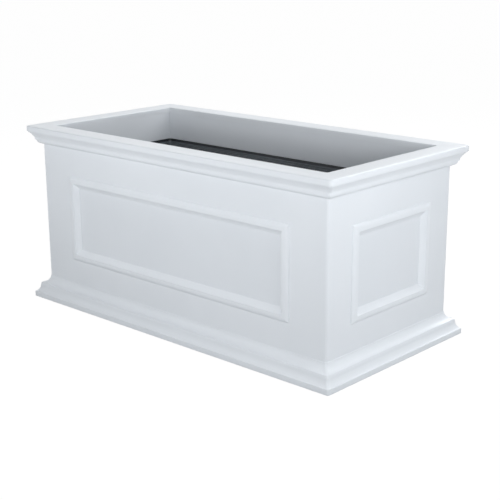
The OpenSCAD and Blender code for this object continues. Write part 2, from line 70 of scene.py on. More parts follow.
level = math.cos(RISE)
back = Vector((math.sin(TURN) * level, -math.cos(TURN) * level, math.sin(RISE)))
right = Vector((math.cos(TURN), math.sin(TURN), 0))
up = back.cross(right)
camera = bpy.data.objects.new("camera", bpy.data.cameras.new("camera"))
bpy.context.scene.collection.objects.link(camera)
camera.data.sensor_width = SENSOR
camera.data.lens = SENSOR * LENS_PIXELS / PICTURE_PIXELS
rolled_right = right * math.cos(ROLL) + up * math.sin(ROLL)
rolled_up = up * math.cos(ROLL) - right * math.sin(ROLL)
axes = Matrix((rolled_right, rolled_up, back)).transposed().to_4x4()
spot = back * DISTANCE + Vector((0, 0, AIM_HEIGHT)) + right * SLIDE_RIGHT + up * SLIDE_UP
camera.matrix_world = Matrix.Translation(spot) @ axes
bpy.context.scene.camera = camera
print("camera at", [round(v, 3) for v in spot], "lens", round(camera.data.lens, 1), "mm")

# %% [markdown]
# ## Finishes
# Both materials and Geometry Nodes are trees of nodes, and adding a node by hand takes three steps:
# make it, set it, link it. The small kit below does all three at once. An input is given as a plain
# value or as the output of another node, so a finish reads like a sentence.

# %% Helpers that add nodes
def fill(tree, node, inputs):
    """Gives each input its value, or links another node's output to it."""
    for name, value in inputs.items():
        if isinstance(value, bpy.types.NodeSocket):
            tree.links.new(value, node.inputs[name])
        else:
            node.inputs[name].default_value = value


def add(tree, kind, inputs, output=0, **settings):
    """Adds a node with its settings and inputs, and returns one of its outputs."""
    node = tree.nodes.new(kind)
    for name, value in settings.items():
        setattr(node, name, value)
    fill(tree, node, inputs)
    return node.outputs[output]


def number(tree, operation, *values):
    """Works out one number from one or two others."""
    return add(tree, "ShaderNodeMath", dict(enumerate(values)), operation=operation)


def split(tree, vector):
    """The x, y and z of a vector."""
    node = tree.nodes.new("ShaderNodeSeparateXYZ")
    fill(tree, node, {0: vector})
    return list(node.outputs)


print("node helpers ready")

# %% [markdown]
# Moulded plastic is never one flat colour. It has a faint cloudiness in its pigment, a sheen that
# wanders a little, and a skin that is very slightly uneven, like the peel of an orange. Each of these
# is a noise pattern at its own scale, read from Object coordinates so that it stays put on the piece.

# %% Helpers for finishes
def new_finish(name):
    """An empty material, with its tree, its shader and its Object coordinates."""
    material = bpy.data.materials.new(name)
    material.use_nodes = True
    tree = material.node_tree
    tree.nodes.clear()
    shader = tree.nodes.new("ShaderNodeBsdfPrincipled")
    output = tree.nodes.new("ShaderNodeOutputMaterial")
    tree.links.new(shader.outputs["BSDF"], output.inputs["Surface"])
    return material, tree, shader, add(tree, "ShaderNodeTexCoord", {}, "Object")


def stretched(tree, where, scale):
    """Coordinates stretched by a different amount along each axis."""
    return add(tree, "ShaderNodeMapping", {"Vector": where, "Scale": scale}, "Vector")


def noise(tree, where, scale, detail, roughness=0.55):
    """A cloudy pattern, with this many cells to the metre."""
    pattern = {"Vector": where, "Scale": scale, "Detail": detail, "Roughness": roughness}
    return add(tree, "ShaderNodeTexNoise", pattern, "Fac")


def spread(tree, value, low, high, start=0.3, end=0.7):
    """Turns what runs from start to end, as noise mostly does from 0.3 to 0.7, into low to high."""
    limits = {"From Min": start, "From Max": end, "To Min": low, "To Max": high}
    return add(tree, "ShaderNodeMapRange", {"Value": value, **limits}, "Result")


def between(tree, value, dark, light):
    """Fades between two colours."""
    colours = {"A": (*dark, 1), "B": (*light, 1)}
    return add(tree, "ShaderNodeMix", {"Factor": value, **colours}, "Result", data_type="RGBA")


def bump(tree, height, distance, strength, under=None):
    """The surface's direction as the pattern tilts it, on top of another bump if there is one."""
    inputs = {"Height": height, "Distance": distance, "Strength": strength}
    if under is not None:
        inputs["Normal"] = under
    return add(tree, "ShaderNodeBump", inputs, "Normal")


print("finish helpers ready")

# %% [markdown]
# The walls, the sunk panels and the mouldings are the same satin white. The panels are a touch
# darker, which is painted shade, and duller. The mouldings are a touch paler, which is painted light,
# and shinier. One function makes all three, so that they differ in nothing else.

# %% Satin white plastic for the walls, the panels and the mouldings
CLOUDS, SMEARS, WAVES, PEEL = 5.0, 11.0, 7.0, 420.0  # cells of noise to the metre
WAVE_HEIGHT, PEEL_HEIGHT = 1.2 * MM, 0.06 * MM
PLASTIC_IOR = 1.47


def satin_white(name, dark, light, sheen_low, sheen_high):
    """White plastic between two tints and between two roughnesses."""
    material, tree, shader, where = new_finish(name)
    cloud = spread(tree, noise(tree, where, CLOUDS, 4.0), 0, 1)
    smear = noise(tree, stretched(tree, where, (1.0, 1.0, 2.2)), SMEARS, 5.0)
    waves = bump(tree, noise(tree, where, WAVES, 1.0), WAVE_HEIGHT, 0.35)
    fill(tree, shader, {
        "Base Color": between(tree, cloud, dark, light),
        "Roughness": spread(tree, smear, sheen_low, sheen_high),
        "Normal": bump(tree, noise(tree, where, PEEL, 2.0), PEEL_HEIGHT, 0.5, waves),
        "IOR": PLASTIC_IOR,
    })
    return material


wall_finish = satin_white(
    "wall_white", (0.775, 0.800, 0.828), (0.800, 0.823, 0.850), 0.42, 0.54
)
# The panels' tints are painted shade: a touch darker than the walls' same white.
painted_shade_panel_finish = satin_white(
    "panel_white_painted_shade", (0.750, 0.776, 0.806), (0.776, 0.800, 0.828), 0.44, 0.56
)
# The mouldings' tints are painted light: a touch paler than the walls' same white.
painted_light_moulding_finish = satin_white(
    "moulding_white_painted_light", (0.785, 0.810, 0.838), (0.808, 0.832, 0.858), 0.36, 0.48
)
print("white finishes made")

# %% [markdown]
# The framing inside is sawn from plain foamed board. It is duller than the outside and keeps the
# saw's marks, which run along each length. The marks are a noise that is squeezed across the length
# and drawn out along it, so each direction of board gets its own version.

# %% Sawn white board for the framing
MARKS_ACROSS, MARKS_ALONG, PORES = 90.0, 2.5, 900.0  # cells of noise to the metre
MARK_HEIGHT, PORE_HEIGHT = 0.25 * MM, 0.08 * MM
BOARD_DARK, BOARD_LIGHT = (0.640, 0.655, 0.665), (0.720, 0.735, 0.745)


def sawn_white(name, along):
    """Foamed board whose saw marks run along one axis."""
    material, tree, shader, where = new_finish(name)
    scale = [MARKS_ACROSS] * 3
    scale[along] = MARKS_ALONG
    marks = noise(tree, stretched(tree, where, scale), 1.0, 6.0, 0.7)
    sawn = bump(tree, marks, MARK_HEIGHT, 0.6)
    fill(tree, shader, {
        "Base Color": between(tree, spread(tree, marks, 0, 1), BOARD_DARK, BOARD_LIGHT),
        "Roughness": spread(tree, marks, 0.62, 0.78),
        "Normal": bump(tree, noise(tree, where, PORES, 2.0), PORE_HEIGHT, 0.5, sawn),
    })
    return material


sawn_x, sawn_y, sawn_z = [sawn_white("sawn_white_" + axis, k) for k, axis in enumerate("xyz")]
print("sawn finishes made for three directions")

# %% [markdown]
# The tray is moulded black plastic. Seen at a low angle it shines more along its length than across,
# because the mould was polished lengthwise and left fine lines. A pale grey is painted in those lines
# at the foot of its lip, as a painted reflection of the pale walls above, and the lip itself stays
# black. So the painted reflection is a product of three patterns: how low a point lies, how near it
# is to the lip, and how deep it lies in a line.

# %% Black tray plastic
TRAY_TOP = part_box("insert_tray")[1].z
# The pale grey below is painted reflection of the walls, set low down near the lip.
REFLECTION_FULL, REFLECTION_GONE = TRAY_TOP - 8 * MM, TRAY_TOP - 4 * MM
REFLECTION_ALONG, REFLECTION_ACROSS = (0.345, 0.398), (0.120, 0.172)
REFLECTION_LEFT_OVER = 0.06
LINE_CELLS, SKIN_CELLS = (3.0, 130.0, 260.0), 700.0
LINE_HEIGHT, SKIN_HEIGHT = 0.04 * MM, 0.02 * MM
TRAY_BLACK, PAINTED_REFLECTION_GREY = (0.012, 0.014, 0.018), (0.180, 0.203, 0.222)


def black_tray():
    """Black plastic with fine lengthwise lines, and a painted reflection in them at the foot of the
    lip.
    """
    material, tree, shader, where = new_finish("tray_black")
    lines = noise(tree, stretched(tree, where, LINE_CELLS), 1.0, 5.0, 0.65)
    x, y, z = split(tree, where)
    low_down = spread(tree, z, 1, 0, REFLECTION_FULL, REFLECTION_GONE)
    near_end = spread(tree, number(tree, "ABSOLUTE", x), REFLECTION_LEFT_OVER, 1, *REFLECTION_ALONG)
    near_side = spread(tree, number(tree, "ABSOLUTE", y), REFLECTION_LEFT_OVER, 1, *REFLECTION_ACROSS)
    near_lip = number(tree, "MAXIMUM", near_end, near_side)
    # Painted reflection: grey in the lines, low down and near the lip.
    painted_reflection = number(tree, "MULTIPLY", low_down, spread(tree, lines, 0.3, 1.0, 0.35, 0.65))
    painted_reflection = number(tree, "MULTIPLY", painted_reflection, near_lip)
    lined = bump(tree, lines, LINE_HEIGHT, 0.4)
    fill(tree, shader, {
        "Base Color": between(tree, painted_reflection, TRAY_BLACK, PAINTED_REFLECTION_GREY),
        "Roughness": spread(tree, lines, 0.22, 0.38),
        "Normal": bump(tree, noise(tree, where, SKIN_CELLS, 2.0), SKIN_HEIGHT, 0.5, lined),
    })
    return material


tray_finish = black_tray()
print("tray finish made, its lip's top at", round(TRAY_TOP, 4))

# %% [markdown]
# The screws are bare steel, turned on a lathe, so both their shade and their sheen are uneven. At a
# few millimetres across they need only one fine noise for the two.

# %% Turned steel for the screws
STEEL_CELLS = 900.0
STEEL_DARK, STEEL_LIGHT = (0.46, 0.465, 0.47), (0.66, 0.665, 0.67)


def turned_steel():
    """Bare steel whose shade and sheen wander together."""
    material, tree, shader, where = new_finish("screw_steel")
    shade = noise(tree, where, STEEL_CELLS, 4.0)
    fill(tree, shader, {
        "Base Color": between(tree, shade, STEEL_DARK, STEEL_LIGHT),
        "Roughness": spread(tree, shade, 0.26, 0.42),
        "Metallic": 1.0,
    })
    return material


steel_finish = turned_steel()
print("screw finish made")

# %% [markdown]
# ## Profiles
# A moulding is one outline drawn out along a straight length. Real outlines have no knife edges: each
# corner is eased by half a millimetre or so, and that is what catches the light. The helpers below
# take corner points with an easing radius, and an arc is written as its two ends and its radius.

# %% Helpers that draw an outline
def arc(start, end, radius, steps=10):
    """Points from start to end, bending left for a positive radius and right for a negative one."""
    a, b = Vector(start), Vector(end)
    chord = b - a
    away = math.sqrt(radius * radius - chord.length_squared / 4) * (1 if radius > 0 else -1)
    centre = (a + b) / 2 + Vector((-chord.y, chord.x)).normalized() * away
    first = math.atan2(*(a - centre).yx)
    turn = math.atan2(*(b - centre).yx) - first
    turn = (turn + math.pi) % (2 * math.pi) - math.pi
    size = abs(radius)
    angles = [first + turn * k / steps for k in range(steps + 1)]
    return [(centre.x + size * math.cos(t), centre.y + size * math.sin(t)) for t in angles]


def eased(points, steps=4):
    """An outline of (x, y) or (x, y, easing) points, each easing turned into a small curve."""
    made = []
    for i, point in enumerate(points):
        here = Vector(point[:2])
        if len(point) < 3:
            made.append(tuple(here))
            continue
        before = Vector(points[i - 1][:2]) - here
        after = Vector(points[(i + 1) % len(points)][:2]) - here
        reach = point[2] / math.tan(before.angle(after) / 2)
        a, b = here + before.normalized() * reach, here + after.normalized() * reach
        for k in range(steps + 1):
            t = k / steps
            made.append(tuple(a * (1 - t) ** 2 + here * 2 * t * (1 - t) + b * t * t))
    return made


def with_easing(points, first=0.0, last=0.0):
    """Gives the two ends of an arc an easing radius."""
    points = [tuple(p) for p in points]
    if first:
        points[0] = (*points[0], first)
    if last:
        points[-1] = (*points[-1], last)
    return points


print("outline helpers ready")

# %% [markdown]
# All four outlines are in millimetres. Of the cap, the crown and the base, x is how far a point
# stands out of the wall's face, and y its height from the cap's or the ground's level. The cap and
# the base go up from there and the crown hangs down. Of the panel's frame, x runs inwards from the
# frame's outer edge as a negative number, and y is how far the point stands out of the wall.

# %% Outlines of the cap and the crown
WALL = 22.0
CAP_OUT, CAP_THICK = 28.0, 13.0
CAP_OUTLINE = eased(
    [(-WALL, 0, 0.5), (CAP_OUT, 0, 2.0), (CAP_OUT, CAP_THICK, 3.8), (-WALL, CAP_THICK, 3.0)], 6
)

CROWN_OUT, STEP_OUT, BEAD_OUT = 25.5, 15.0, 12.5
CROWN_COVE, BEAD = 45.0, 9.5
FILLET_FOOT, COVE_FOOT, STEP_FOOT, BEAD_FOOT, CROWN_FOOT = -1.0, -15.0, -19.5, -29.0, -30.0
LIP_OUT = BEAD_OUT - BEAD
CROWN_OUTLINE = eased(
    [(0, 0), (CROWN_OUT, 0, 0.4)]
    + with_easing(arc((CROWN_OUT, FILLET_FOOT), (STEP_OUT, COVE_FOOT), CROWN_COVE), 0.4)
    + [(STEP_OUT, STEP_FOOT, 0.8)]
    + with_easing(arc((BEAD_OUT, STEP_FOOT), (LIP_OUT, BEAD_FOOT), -BEAD, 12), 0.4, 0.3)
    + [(LIP_OUT, CROWN_FOOT, 0.3), (0, CROWN_FOOT)]
)
print("cap", len(CAP_OUTLINE), "points, crown", len(CROWN_OUTLINE), "points")

# %% Outlines of the base and the panel's frame
PLINTH_OUT, COVE_OUT, BELT_FOOT_OUT, BELT_TOP_OUT = 29.0, 26.5, 19.0, 17.0
UPPER_COVE_OUT, BASE_EDGE_OUT = 16.0, 1.0
PLINTH_TOP, BELT_FOOT, BELT_TOP, BASE_TOP = 13.0, 26.5, 34.5, 52.0
LOWER_COVE, BELT, UPPER_COVE = 20.0, 26.0, 18.0
BASE_OUTLINE = eased(
    [(0, 0), (PLINTH_OUT, 0, 1.8), (PLINTH_OUT, PLINTH_TOP, 2.0)]
    + with_easing(arc((COVE_OUT, PLINTH_TOP), (BELT_FOOT_OUT, BELT_FOOT), -LOWER_COVE), 0.5)
    + arc((BELT_FOOT_OUT, BELT_FOOT), (BELT_TOP_OUT, BELT_TOP), BELT)[1:-1]
    + [(BELT_TOP_OUT, BELT_TOP, 1.0)]
    + with_easing(
        arc((UPPER_COVE_OUT, BELT_TOP), (BASE_EDGE_OUT, BASE_TOP), -UPPER_COVE, 14), 0.3, 0.4
    )
    + [(0, BASE_TOP)]
)

FRAME_WIDE, FRAME_LAND, SHOULDER_WIDE = 27.0, 15.0, 10.0
FRAME_RELIEF, FRAME_EDGE, FRAME_QUIRK = 5.5, 1.2, 0.8
SHOULDER, FRAME_COVE = 14.0, 34.0
PANEL_FACE, INNER_EDGE, REBATE = -5.0, 1.0, -15.2
QUIRK_FOOT = FRAME_RELIEF - FRAME_QUIRK
INNER_TOP = PANEL_FACE + INNER_EDGE
FRAME_OUTLINE = eased(
    [(0, 0)]
    + with_easing(arc((0, FRAME_EDGE), (-SHOULDER_WIDE, FRAME_RELIEF), SHOULDER), 0.4)
    + [(-FRAME_LAND, FRAME_RELIEF, 0.3)]
    + with_easing(arc((-FRAME_LAND, QUIRK_FOOT), (-FRAME_WIDE, INNER_TOP), -FRAME_COVE), 0.2)
    + [(-FRAME_WIDE, PANEL_FACE), (REBATE, PANEL_FACE), (REBATE, 0)]
)
print("base", len(BASE_OUTLINE), "points, frame", len(FRAME_OUTLINE), "points")

# %% [markdown]
# ## Sweeping a moulding round a corner
# Each length of moulding meets its neighbour in a mitre, a cut at half the corner's angle. Sweeping
# the outline along a path would be simplest, but an offset path rounds the outer edge far more than
# the inner one. The real corner is eased by about the same amount everywhere. So Geometry Nodes draws
# the outline along a straight line, remembers where each point is in the outline and along the line,
# and then places every point by rule: half of one eased corner, the straight, half of the next.

# %% Helpers that build a tree
def new_tree(name, sockets):
    """A tree with a geometry in and out. Each other input is given as (name, kind, value)."""
    tree = bpy.data.node_groups.new(name, "GeometryNodeTree")
    tree.interface.new_socket("Geometry", in_out="INPUT", socket_type="NodeSocketGeometry")
    for label, kind, value in sockets:
        socket = tree.interface.new_socket(label, in_out="INPUT", socket_type="NodeSocket" + kind)
        if value is not None:
            socket.default_value = value
    tree.interface.new_socket("Geometry", in_out="OUTPUT", socket_type="NodeSocketGeometry")
    return tree, tree.nodes.new("NodeGroupInput").outputs


def remember(tree, geometry, items):
    """Stores values on each point, as (name, kind, value), so that later nodes can read them."""
    node = tree.nodes.new("GeometryNodeCaptureAttribute")
    node.domain = "POINT"
    tree.links.new(geometry, node.inputs["Geometry"])
    for name, kind, value in items:
        node.capture_items.new(kind, name)
        tree.links.new(value, node.inputs[name])
    return node.outputs["Geometry"], [node.outputs[name] for name, _, _ in items]


def end_tree(tree, geometry, material):
    """Makes copies real, because the export drops them otherwise, and gives the finish."""
    real = add(tree, "GeometryNodeRealizeInstances", {"Geometry": geometry})
    done = add(tree, "GeometryNodeSetMaterial", {"Geometry": real, "Material": material})
    tree.links.new(done, tree.nodes.new("NodeGroupOutput").inputs["Geometry"])


print("tree helpers ready")

# %% Build the moulding tree
HALF_CORNER = math.radians(45)


def corner_line(tree, steps):
    """A line with one run of points for each of its two half corners.

    Each point remembers its end of the line, -1 or 1, and its direction from the middle of that
    corner's curve. The first run turns from the diagonal to straight out of the wall, which is -Y,
    and the second from there to the other diagonal.
    """
    line = add(tree, "GeometryNodeCurvePrimitiveLine", {"End": (1, 0, 0)})
    run = number(tree, "ADD", steps, 1)
    count = number(tree, "MULTIPLY", run, 2)
    rail = add(tree, "GeometryNodeResampleCurve", {"Curve": line, "Count": count})
    index = add(tree, "GeometryNodeInputIndex", {})
    second = number(tree, "GREATER_THAN", index, number(tree, "SUBTRACT", run, 0.5))
    place = number(tree, "SUBTRACT", index, number(tree, "MULTIPLY", run, second))
    share = number(tree, "ADD", number(tree, "DIVIDE", place, steps), second)
    angle = number(tree, "SUBTRACT", number(tree, "MULTIPLY", share, HALF_CORNER), 3 * HALF_CORNER)
    end = number(tree, "SUBTRACT", number(tree, "MULTIPLY", second, 2), 1)
    return remember(tree, rail, (
        ("End", "FLOAT", end),
        ("X", "FLOAT", number(tree, "COSINE", angle)),
        ("Y", "FLOAT", number(tree, "SINE", angle)),
    ))


def moulding_tree():
    """Draws an outline along one side, with half of an eased corner at each end."""
    tree, given = new_tree("mitred_moulding", (
        ("Half Length", "Float", 0.4), ("Reach", "Float", 0.2),
        ("Inner Edge", "Float", 0.0), ("Outer Edge", "Float", 0.02),
        ("Inner Radius", "Float", 0.008), ("Outer Radius", "Float", 0.008),
        ("Corner Steps", "Int", 8), ("Turn", "Vector", None), ("Shift", "Vector", None),
        ("Material", "Material", None),
    ))
    rail, (end, corner_x, corner_y) = corner_line(tree, given["Corner Steps"])
    position = add(tree, "GeometryNodeInputPosition", {})
    outline, (drawn,) = remember(tree, given["Geometry"], (("Drawn", "VECTOR", position),))
    swept = add(tree, "GeometryNodeCurveToMesh", {
        "Curve": rail, "Profile Curve": outline, "Fill Caps": True,
    })
    out, height, _ = split(tree, drawn)
    radius = add(tree, "ShaderNodeMapRange", {
        "Value": out, "From Min": given["Inner Edge"], "From Max": given["Outer Edge"],
        "To Min": given["Inner Radius"], "To Max": given["Outer Radius"],
    }, "Result")
    ease = number(tree, "SUBTRACT", out, radius)
    middle_x = number(tree, "MULTIPLY", end, number(tree, "ADD", given["Half Length"], ease))
    middle_y = number(tree, "ADD", given["Reach"], ease)
    x = number(tree, "ADD", middle_x, number(tree, "MULTIPLY", radius, corner_x))
    y = number(tree, "SUBTRACT", number(tree, "MULTIPLY", radius, corner_y), middle_y)
    place = add(tree, "ShaderNodeCombineXYZ", {"X": x, "Y": y, "Z": height})
    placed = add(tree, "GeometryNodeSetPosition", {"Geometry": swept, "Position": place})
    turned = add(tree, "GeometryNodeTransform", {
        "Geometry": placed, "Rotation": given["Turn"], "Translation": given["Shift"],
    })
    end_tree(tree, turned, given["Material"])
    return tree


mitred_moulding = moulding_tree()
print("moulding tree has", len(mitred_moulding.nodes), "nodes")

# %% [markdown]
# A node tree's inputs are set on the modifier by their identifiers. The outline is a closed curve,
# the modifier sweeps it, and the finished shape is then taken out as a plain mesh, because a modifier
# that is still live would be lost when the model is exported.

# %% Helpers that run a tree and keep the mesh
MERGE = 0.001 * MM


def run_tree(source, tree, values):
    """Puts the tree on the source object, sets its named inputs and returns the finished mesh."""
    modifier = source.modifiers.new("tree", "NODES")
    modifier.node_group = tree
    for item in tree.interface.items_tree:
        if item.in_out == "INPUT" and item.name in values:
            modifier[item.identifier] = values[item.name]
    bpy.context.view_layer.update()
    depsgraph = bpy.context.evaluated_depsgraph_get()
    evaluated = source.evaluated_get(depsgraph)
    mesh = bpy.data.meshes.new_from_object(evaluated, depsgraph=depsgraph)
    source.modifiers.remove(modifier)
    return mesh


def outline_curve(outline):
    """A closed curve through the outline's points, in metres."""
    curve = bpy.data.curves.new("outline", "CURVE")
    curve.dimensions = "3D"
    spline = curve.splines.new("POLY")
    spline.points.add(len(outline) - 1)
    for point, (x, y) in zip(spline.points, outline):
        point.co = (x * MM, y * MM, 0, 1)
    spline.use_cyclic_u = True
    source = bpy.data.objects.new("outline", curve)
    bpy.context.scene.collection.objects.link(source)
    return source


def finish_piece(name, mesh, material, body, replaced, sharp=32):
    """Makes the mesh a shown piece: outward faces, smooth where it curves, riding on its body.

    Edges that turn by more than the angle sharp, in degrees, stay sharp. It returns the piece and
    the number of edges that don't join exactly two faces.
    """
    work = bmesh.new()
    work.from_mesh(mesh)
    bmesh.ops.remove_doubles(work, verts=work.verts, dist=MERGE)
    bmesh.ops.recalc_face_normals(work, faces=work.faces)
    open_edges = sum(1 for e in work.edges if not e.is_manifold)
    work.to_mesh(mesh)
    work.free()
    mesh.shade_smooth()
    mesh.set_sharp_from_angle(angle=math.radians(sharp))
    mesh.materials.clear()
    mesh.materials.append(material)
    piece = bpy.data.objects.new(name, mesh)
    bpy.context.scene.collection.objects.link(piece)
    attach(piece, body)
    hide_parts(*replaced)
    return piece, open_edges


print("tree runner ready")

# %% [markdown]
# The cap rail, the crown and the base go round the box in the same way, so one loop makes all twelve
# lengths. The box's own size is read from the walls. Each moulding has an easing radius for its
# corners at its inner and at its outer edge, and the tree fades from one to the other in between.

# %% Sweep the cap rail, the crown and the base
HALF_LENGTH = -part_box("wall_left")[0].x
HALF_DEPTH = -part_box("wall_front")[0].y
WALL_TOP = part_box("wall_front")[1].z


def moulding_values(outline, half_length, reach, radii):
    """What the moulding tree needs to know of an outline and of the side that it runs along."""
    edges = [x for x, _ in outline]
    return {
        "Half Length": half_length, "Reach": reach,
        "Inner Edge": min(edges) * MM, "Outer Edge": max(edges) * MM,
        "Inner Radius": radii[0] * MM, "Outer Radius": radii[1] * MM,
        "Material": painted_light_moulding_finish,
    }


swept = []
for kind, outline, height, radii in (
    ("cap", CAP_OUTLINE, WALL_TOP, (4.0, 8.0)),
    ("crown", CROWN_OUTLINE, WALL_TOP, (5.5, 6.0)),
    ("base", BASE_OUTLINE, 0.0, (5.5, 4.0)),
):
    source = outline_curve(outline)
    for i, side in enumerate(SIDES):
        half_length, reach = (HALF_DEPTH, HALF_LENGTH) if i % 2 else (HALF_LENGTH, HALF_DEPTH)
        mesh = run_tree(source, mitred_moulding, {
            **moulding_values(outline, half_length, reach, radii),
            "Turn": (0.0, 0.0, math.radians(90 * i)), "Shift": (0.0, 0.0, height),
        })
        swept.append(finish_piece(
            f"{kind}_moulding_{side}", mesh, painted_light_moulding_finish,
            "planter", [f"{kind}_{side}"],
        ))
    bpy.data.objects.remove(source)
print(len(swept), "lengths of moulding, open edges", sum(n for _, n in swept))

# %% [markdown]
# The frame round each panel is the same kind of thing lying down: four mitred lengths whose outline
# points inwards. The tree draws them flat on the ground, and one turn stands them up against the
# wall. The panel frames have nearly sharp corners, so their easing is small.

# %% Sweep the sixteen lengths of panel frame
FRAME_RADII, FRAME_CORNER_STEPS, FRAME_SHARP = (0.4, 2.0), 4, 40
STAND_UP = Matrix.Rotation(math.radians(90), 4, "X")


def frame_place(side):
    """Half width, half height and middle height of a side's frame, read from its own solids."""
    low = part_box(f"frame_{side}_bottom")[0].z
    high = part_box(f"frame_{side}_top")[1].z
    axis = 1 if side in ("right", "left") else 0
    uprights = [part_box(f"frame_{side}_{edge}") for edge in ("left", "right")]
    half_width = max(abs(corner[axis]) for box in uprights for corner in box)
    return half_width, (high - low) / 2, (low + high) / 2


source = outline_curve(FRAME_OUTLINE)
frames = []
for i, side in enumerate(SIDES):
    half_width, half_height, middle = frame_place(side)
    to_wall = Matrix.Translation((0, -(HALF_LENGTH if i % 2 else HALF_DEPTH), middle))
    to_side = Matrix.Rotation(math.radians(90 * i), 4, "Z")
    for e, edge in enumerate(EDGES):
        half_length, reach = (half_height, half_width) if e % 2 else (half_width, half_height)
        mesh = run_tree(source, mitred_moulding, {
            **moulding_values(FRAME_OUTLINE, half_length, reach, FRAME_RADII),
            "Corner Steps": FRAME_CORNER_STEPS,
            "Turn": (0.0, 0.0, 0.0), "Shift": (0.0, 0.0, 0.0),
        })
        to_edge = Matrix.Rotation(math.radians(-90 * e), 4, "Y")
        mesh.transform(to_side @ to_wall @ to_edge @ STAND_UP)
        frames.append(finish_piece(
            f"frame_moulding_{side}_{edge}", mesh, painted_light_moulding_finish,
            "planter", [f"frame_{side}_{edge}"], FRAME_SHARP,
        ))
bpy.data.objects.remove(source)
print(len(frames), "lengths of frame, open edges", sum(n for _, n in frames))

# %% [markdown]
# ## Boards and the tray with eased edges
# A board that comes off a saw has its corners knocked off with a sanding block. The CAD solids have
# the right size and holes but knife edges. Their meshes are loose triangles, so each is copied, its
# doubled points are merged and its flat faces joined, and then a bevel eases every sharp edge.

# %% A helper that eases a copy of a solid
MERGE_SOLID = 0.002 * MM
FLAT_ANGLE, BEVEL_ANGLE = math.radians(0.5), math.radians(50)
COPY_SHARP = 40


def eased_copy(node, new_name, width, material, body):
    """A copy of a CAD node's mesh with a bevel of this width on its sharp edges."""
    work = bmesh.new()
    work.from_mesh(nodes[node].data)
    bmesh.ops.remove_doubles(work, verts=work.verts, dist=MERGE_SOLID)
    bmesh.ops.dissolve_limit(work, angle_limit=FLAT_ANGLE, verts=work.verts, edges=work.edges)
    bmesh.ops.recalc_face_normals(work, faces=work.faces)
    pairs = [edge for edge in work.edges if len(edge.link_faces) == 2]
    bmesh.ops.bevel(
        work, geom=[edge for edge in pairs if edge.calc_face_angle(0) > BEVEL_ANGLE],
        offset=width, offset_type="OFFSET", segments=2,
        profile=0.5, affect="EDGES", clamp_overlap=True,
    )
    bmesh.ops.triangulate(work, faces=[f for f in work.faces if len(f.verts) > 4])
    mesh = bpy.data.meshes.new(new_name)
    work.to_mesh(mesh)
    work.free()
    return finish_piece(new_name, mesh, material, body, [node], COPY_SHARP)


print("easing helper ready")

# %% Ease the framing and the tray
BOARD_EASING, POST_EASING, TRAY_EASING = 0.8 * MM, 1.0 * MM, 0.6 * MM


def framing_board(kind, place, finish, easing=BOARD_EASING):
    """One eased board of the framing."""
    return eased_copy(f"{kind}_{place}", f"{kind}_board_{place}", easing, finish, "planter")


boards = []
for side in SIDES:
    for kind in ("ledge", "floor_cleat"):
        boards.append(framing_board(kind, side, sawn_y if side in ("right", "left") else sawn_x))
for end in ("left", "right"):
    for kind in ("brace", "floor_bearer"):
        boards.append(framing_board(kind, end, sawn_y))
for corner in ("front_left", "front_right", "back_right", "back_left"):
    boards.append(framing_board("post", corner, sawn_z, POST_EASING))
boards.append(eased_copy("floor_board", "floor_sheet", BOARD_EASING, sawn_x, "planter"))
tray, tray_open = eased_copy("insert_tray", "lift_out_tray", TRAY_EASING, tray_finish, "tray")
print(len(boards), "boards and the tray eased, open edges", sum(n for _, n in boards) + tray_open)
print("tray faces", len(tray.data.polygons))

# %% [markdown]
# ## Screws
# Every screw is the same flat-headed kind with a square drive, in a few lengths. The CAD model
# already says where each one is, so its own solids give the places: the middle of each head, the way
# it points and how long the screw is. One screw is modelled, and Geometry Nodes puts a turned copy at
# each place.

# %% Find where the screws are
SAME_LEVEL = 0.1 * MM


def islands(mesh):
    """The loose solids of a mesh, each as a list of its points."""
    work = bmesh.new()
    work.from_mesh(mesh)
    bmesh.ops.remove_doubles(work, verts=work.verts, dist=MERGE_SOLID)
    left, found = set(work.verts), []
    while left:
        stack, group = [left.pop()], []
        while stack:
            vert = stack.pop()
            group.append(vert.co.copy())
            for edge in vert.link_edges:
                other = edge.other_vert(vert)
                if other in left:
                    left.remove(other)
                    stack.append(other)
        found.append(group)
    work.free()
    return found


def girth(points, axis, middle, level):
    """How far the points at this level lie from the screw's middle line."""
    across = [k for k in range(3) if k != axis]
    centre = [middle[k] for k in across]
    return max(
        math.dist([p[k] for k in across], centre) for p in points if abs(p[axis] - level) < SAME_LEVEL
    )


def screw_place(points):
    """The middle of the head's face, the direction out of it, the length and the head's radius."""
    low = Vector([min(p[k] for p in points) for k in range(3)])
    high = Vector([max(p[k] for p in points) for k in range(3)])
    axis = max(range(3), key=lambda k: (high - low)[k])
    middle = (low + high) / 2
    low_girth = girth(points, axis, middle, low[axis])
    high_girth = girth(points, axis, middle, high[axis])
    head_high = high_girth > low_girth
    out = Vector([0, 0, 0])
    out[axis] = 1 if head_high else -1
    middle[axis] = high[axis] if head_high else low[axis]
    return middle, out, (high - low)[axis], max(low_girth, high_girth)


def by_position(place):
    """Sorts screws by where they are, so that each keeps its place in the list in every run."""
    return tuple(round(v, 4) for v in place[0])


screw_groups = {}
for name in sorted(nodes):
    if name.endswith("_screws"):
        places = [screw_place(points) for points in islands(nodes[name].data)]
        screw_groups[name] = sorted(places, key=by_position)
        _, _, length, head = screw_groups[name][0]
        print(name, len(screw_groups[name]), "screws", round(length / MM, 1), "mm long")
        print("  head radius", round(head / MM, 2), "mm")

# %% [markdown]
# One screw is a stack of rings: three squares down into the drive, then the head's eased edge, the
# cone under it, the shank and the blunt point. Faces between one ring and the next close it.

# %% Model one screw
RING_SIDES = 24
SHANK, CONE, HEAD_EASING = 2.2 * MM, 2.55 * MM, 0.15 * MM
DRIVE_SHARE, DRIVE_DEPTH, DRIVE_EASING = 0.42, 1.7 * MM, 0.2 * MM


def ring(work, radius, z, square=False):
    """A ring of points at height z, round or square."""
    made = []
    for k in range(RING_SIDES):
        a = 2 * math.pi * k / RING_SIDES
        size = radius / max(abs(math.cos(a)), abs(math.sin(a))) if square else radius
        made.append(work.verts.new((size * math.cos(a), size * math.sin(a), z)))
    return made


